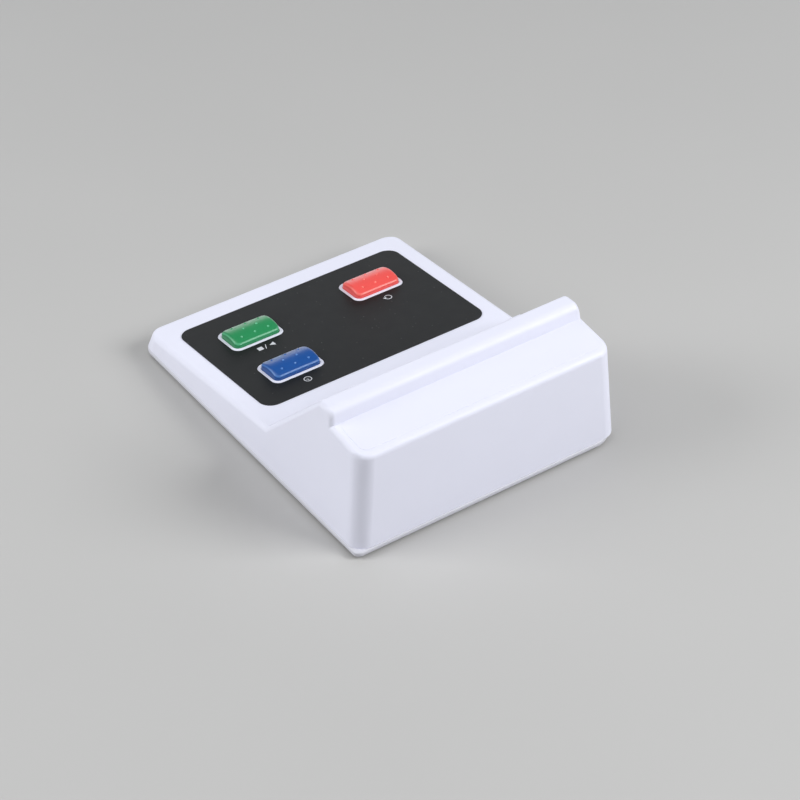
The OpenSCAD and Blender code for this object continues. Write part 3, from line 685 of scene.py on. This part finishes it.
marks = [
    flat_mark("mark_run_hold", [[(-3.4, -1.15), (-1.3, 0), (-3.4, 1.15)],
                                bar(-0.25, -1.25, 0.75, 1.25, 0.28),
                                [(1.5, -1.0), (3.5, -1.0), (3.5, 1.0), (1.5, 1.0)]], KEY_X, 36.4),
    flat_mark("mark_clock", [ring_strip(1.35, 0.3, 0, 178, 20), ring_strip(1.35, 0.3, 180, 358, 20),
                             bar(0, 0, 0, 0.85, 0.26), bar(0, 0, 0.62, 0, 0.26)], KEY_X, 63.2),
    flat_mark("mark_return", [ring_strip(1.3, 0.3, 20, 320, 26),
                              [(0.55, -0.35), (1.95, -0.55), (1.35, 0.62)]], -KEY_X, 37.0),
]
for o in marks:
    shade(o, angle=20)
    place(o, "case", "overlay_black", M["print"])

# -------------------------------------------------------------------- display
W2, H2 = WINDOW_W - 0.3, WINDOW_H - 0.3
lens_steps = [(W2 - 0.1, H2 - 0.1, 1.85, -WINDOW_T), (W2, H2, 1.9, -WINDOW_T + 0.05), (W2, H2, 1.9, -0.22),
              (W2 - 0.10, H2 - 0.10, 1.85, -0.09), (W2 - 0.40, H2 - 0.40, 1.7, 0.0)]
lens = rect_loft("window_pane", on_face, 0, 0, lens_steps, n=6)
shade(lens, angle=25)
place(lens, "case", "window_clear", M["clear"], "display_window")
lens.visible_shadow = False

panel_piece = cad_copy("lcd_panel", "lcd_cell")
tidy(panel_piece)
shade(panel_piece, angle=30, bevel=0.12)
place(panel_piece, "case", "lcd_glass", M["lcd"], "lcd_panel")


def segment(x0, y0, x1, y1, w):
    """Six-sided segment from one end to the other."""
    d = Vector((x1 - x0, y1 - y0))
    u = d.normalized()
    v = Vector((-u.y, u.x)) * (w / 2)
    a, b = Vector((x0, y0)) + u * 0.12, Vector((x1, y1)) - u * 0.12
    h = u * (w / 2)
    return [a, a + h + v, b - h + v, b, b - h - v, a + h - v]


def digit_segments(x, y, w, h, t):
    hw, hh = w / 2, h / 2
    p = {"a": (-hw, hh, hw, hh), "b": (hw, hh, hw, 0), "c": (hw, 0, hw, -hh), "d": (-hw, -hh, hw, -hh),
         "e": (-hw, 0, -hw, -hh), "f": (-hw, hh, -hw, 0), "g": (-hw, 0, hw, 0)}
    out = {}
    for k, (a, b, c, d) in p.items():
        out[k] = [(x + q.x + 0.10 * q.y, y + q.y) for q in segment(a, b, c, d, t)]
    return out


LIT = {"0": "abcdef", "1": "bc", "2": "abged", "3": "abgcd", "4": "fgbc", "5": "afgcd", "6": "afgedc", "7": "abc",
       "8": "abcdefg", "9": "abcdfg"}


def lcd_mesh(name, outlines, lift):
    verts, faces = [], []
    for pts in outlines:
        m, b0 = len(pts), len(verts)
        for n in (-LCD_D - 0.03, -LCD_D + lift):
            verts += [on_face(x, y, n) for x, y in pts]
        faces += [tuple(b0 + i for i in range(m)), tuple(b0 + m + i for i in reversed(range(m)))]
        faces += [(b0 + i, b0 + (i + 1) % m, b0 + m + (i + 1) % m, b0 + m + i) for i in range(m)]
    return solid(name, verts, faces)


lit, faint = [], []
layout = [("1", -21.3, 0.0, 6.2, 12.2, 1.25), ("0", -12.1, 0.0, 6.2, 12.2, 1.25),
          ("4", 0.3, 0.0, 6.2, 12.2, 1.25), ("5", 9.5, 0.0, 6.2, 12.2, 1.25),
          ("3", 17.4, -2.2, 3.9, 7.8, 0.85), ("0", 23.4, -2.2, 3.9, 7.8, 0.85)]
for ch, x, y, w, h, t in layout:
    for k, pts in digit_segments(x, y, w, h, t).items():
        (lit if k in LIT[ch] else faint).append(pts)
for yy in (-2.6, 2.6):
    lit.append([(-5.9 + 0.10 * yy + 0.75 * math.cos(2 * math.pi * i / 12), yy + 0.75 * math.sin(2 * math.pi * i / 12)) for i in range(12)])
seg_on = lcd_mesh("lcd_digits", lit, 0.03)
seg_off = lcd_mesh("lcd_digits_off", faint, 0.015)
for o, m in ((seg_on, M["lcd_dark"]), (seg_off, M["lcd_faint"])):
    shade(o, angle=20)
    place(o, "case", "lcd_glass", m)

# ------------------------------------------------- pieces kept from the frame
KEEP = {
    "battery_door": ("base", 0.18, "battery_hatch"),
    "rubber_feet": ("foot", 0.15, "feet"),
    "case_screws": ("screw", 0.10, "closing_screws"),
    "start_stop_plunger": ("black", 0.12, "plunger_a"),
    "mode_plunger": ("black", 0.12, "plunger_b"),
    "split_reset_plunger": ("black", 0.12, "plunger_c"),
    "switch_housings": ("steel", 0.12, "switch_bodies"),
    "keypad_board": ("board", 0.10, "keypad_pcb"),
    "keypad_screws": ("screw", 0.08, "keypad_fixings"),
    "ribbon_cable": ("cable", 0.05, "flat_cable"),
    "lcd_reflector": ("foil", 0.04, "lcd_mirror"),
    "lcd_holder": ("holder", 0.15, "lcd_frame"),
    "contact_strips": ("strip", 0.15, "rubber_contacts"),
    "main_board": ("board", 0.10, "main_pcb"),
    "board_screws": ("screw", 0.08, "board_fixings"),
    "controller_blob": ("epoxy", 0.0, "chip_cover"),
    "clock_crystal": ("steel", 0.12, "crystal_can"),
    "chip_parts": ("chip", 0.06, "small_parts"),
    "buzzer": ("black", 0.2, "sounder"),
    "battery_cells": ("cell", 0.12, "cells"),
    "positive_contact": ("nickel", 0.05, "contact_plus"),
    "negative_contact": ("nickel", 0.0, "contact_minus"),
    "bridge_contact": ("nickel", 0.0, "contact_bridge"),
    "positive_lead": ("lead_red", 0.0, "lead_plus"),
    "negative_lead": ("lead_black", 0.0, "lead_minus"),
}
slots = {s["node"]: s["material_slot"] for s in frame["record"]["subparts"]}
body_of = {n: b for b, ns in frame["record"]["behaviour"]["bodies"].items() for n in ns}
for node, (key, bev, name) in KEEP.items():
    o = cad_copy(node, name)
    tidy(o)
    shade(o, angle=35, bevel=bev, segments=2)
    place(o, body_of[node], slots[node], M[key], node)

# ------------------------------------------------------------- floor and light
floor_mat = material("floor_pale", (0.50, 0.49, 0.475), 0.6, spread=0.012, rough_spread=0.02, cell=6, grain=500, bump=0.05,
                     depth=0.0002)
bpy.ops.mesh.primitive_plane_add(size=6, location=(0, 0, 0))
floor = bpy.context.object
floor.name = "floor"
floor.data.materials.append(floor_mat)

world = bpy.data.worlds.new("studio")
scene.world = world
world.use_nodes = True
bg = world.node_tree.nodes["Background"]
bg.inputs["Color"].default_value = (0.90, 0.93, 1.0, 1)
bg.inputs["Strength"].default_value = 0.14


def area(name, at, size, size_y, energy, color=(0.96, 0.98, 1.0), aim=(0, 0, 0.02)):
    light = bpy.data.lights.new(name, "AREA")
    light.shape, light.size, light.size_y = "RECTANGLE", size, size_y
    light.energy, light.color = energy, color
    o = bpy.data.objects.new(name, light)
    scene.collection.objects.link(o)
    o.location = at
    o.rotation_euler = (Vector(aim) - Vector(at)).to_track_quat("-Z", "Y").to_euler()
    o.visible_camera = False
    return o


def polar(az, dist, height):
    a = math.radians(az)
    return (dist * math.cos(a), dist * math.sin(a), height)


area("overhead", (0.30, -0.02, 1.1), 1.0, 1.0, 4.4)
area("side_left", polar(-24, 1.0, 0.52), 0.6, 0.6, 7.65)
area("side_right", polar(130, 0.95, 0.70), 0.6, 0.6, 11.6)
area("far_strip", (-0.74, -1.07, 0.24), 1.6, 0.42, 3.0)

cam_data = bpy.data.cameras.new("camera")
cam = bpy.data.objects.new("camera", cam_data)
scene.collection.objects.link(cam)
cam_data.sensor_width = 36.0
cam_data.lens = 114.11
cam_data.clip_start, cam_data.clip_end = 0.02, 20
cam.location = (0.39114, 0.57691, 0.55797)
cam.rotation_euler = Vector((-0.44514, -0.63917, -0.62714)).to_track_quat("-Z", "Y").to_euler()
scene.camera = cam
scene.view_settings.view_transform = "Standard"
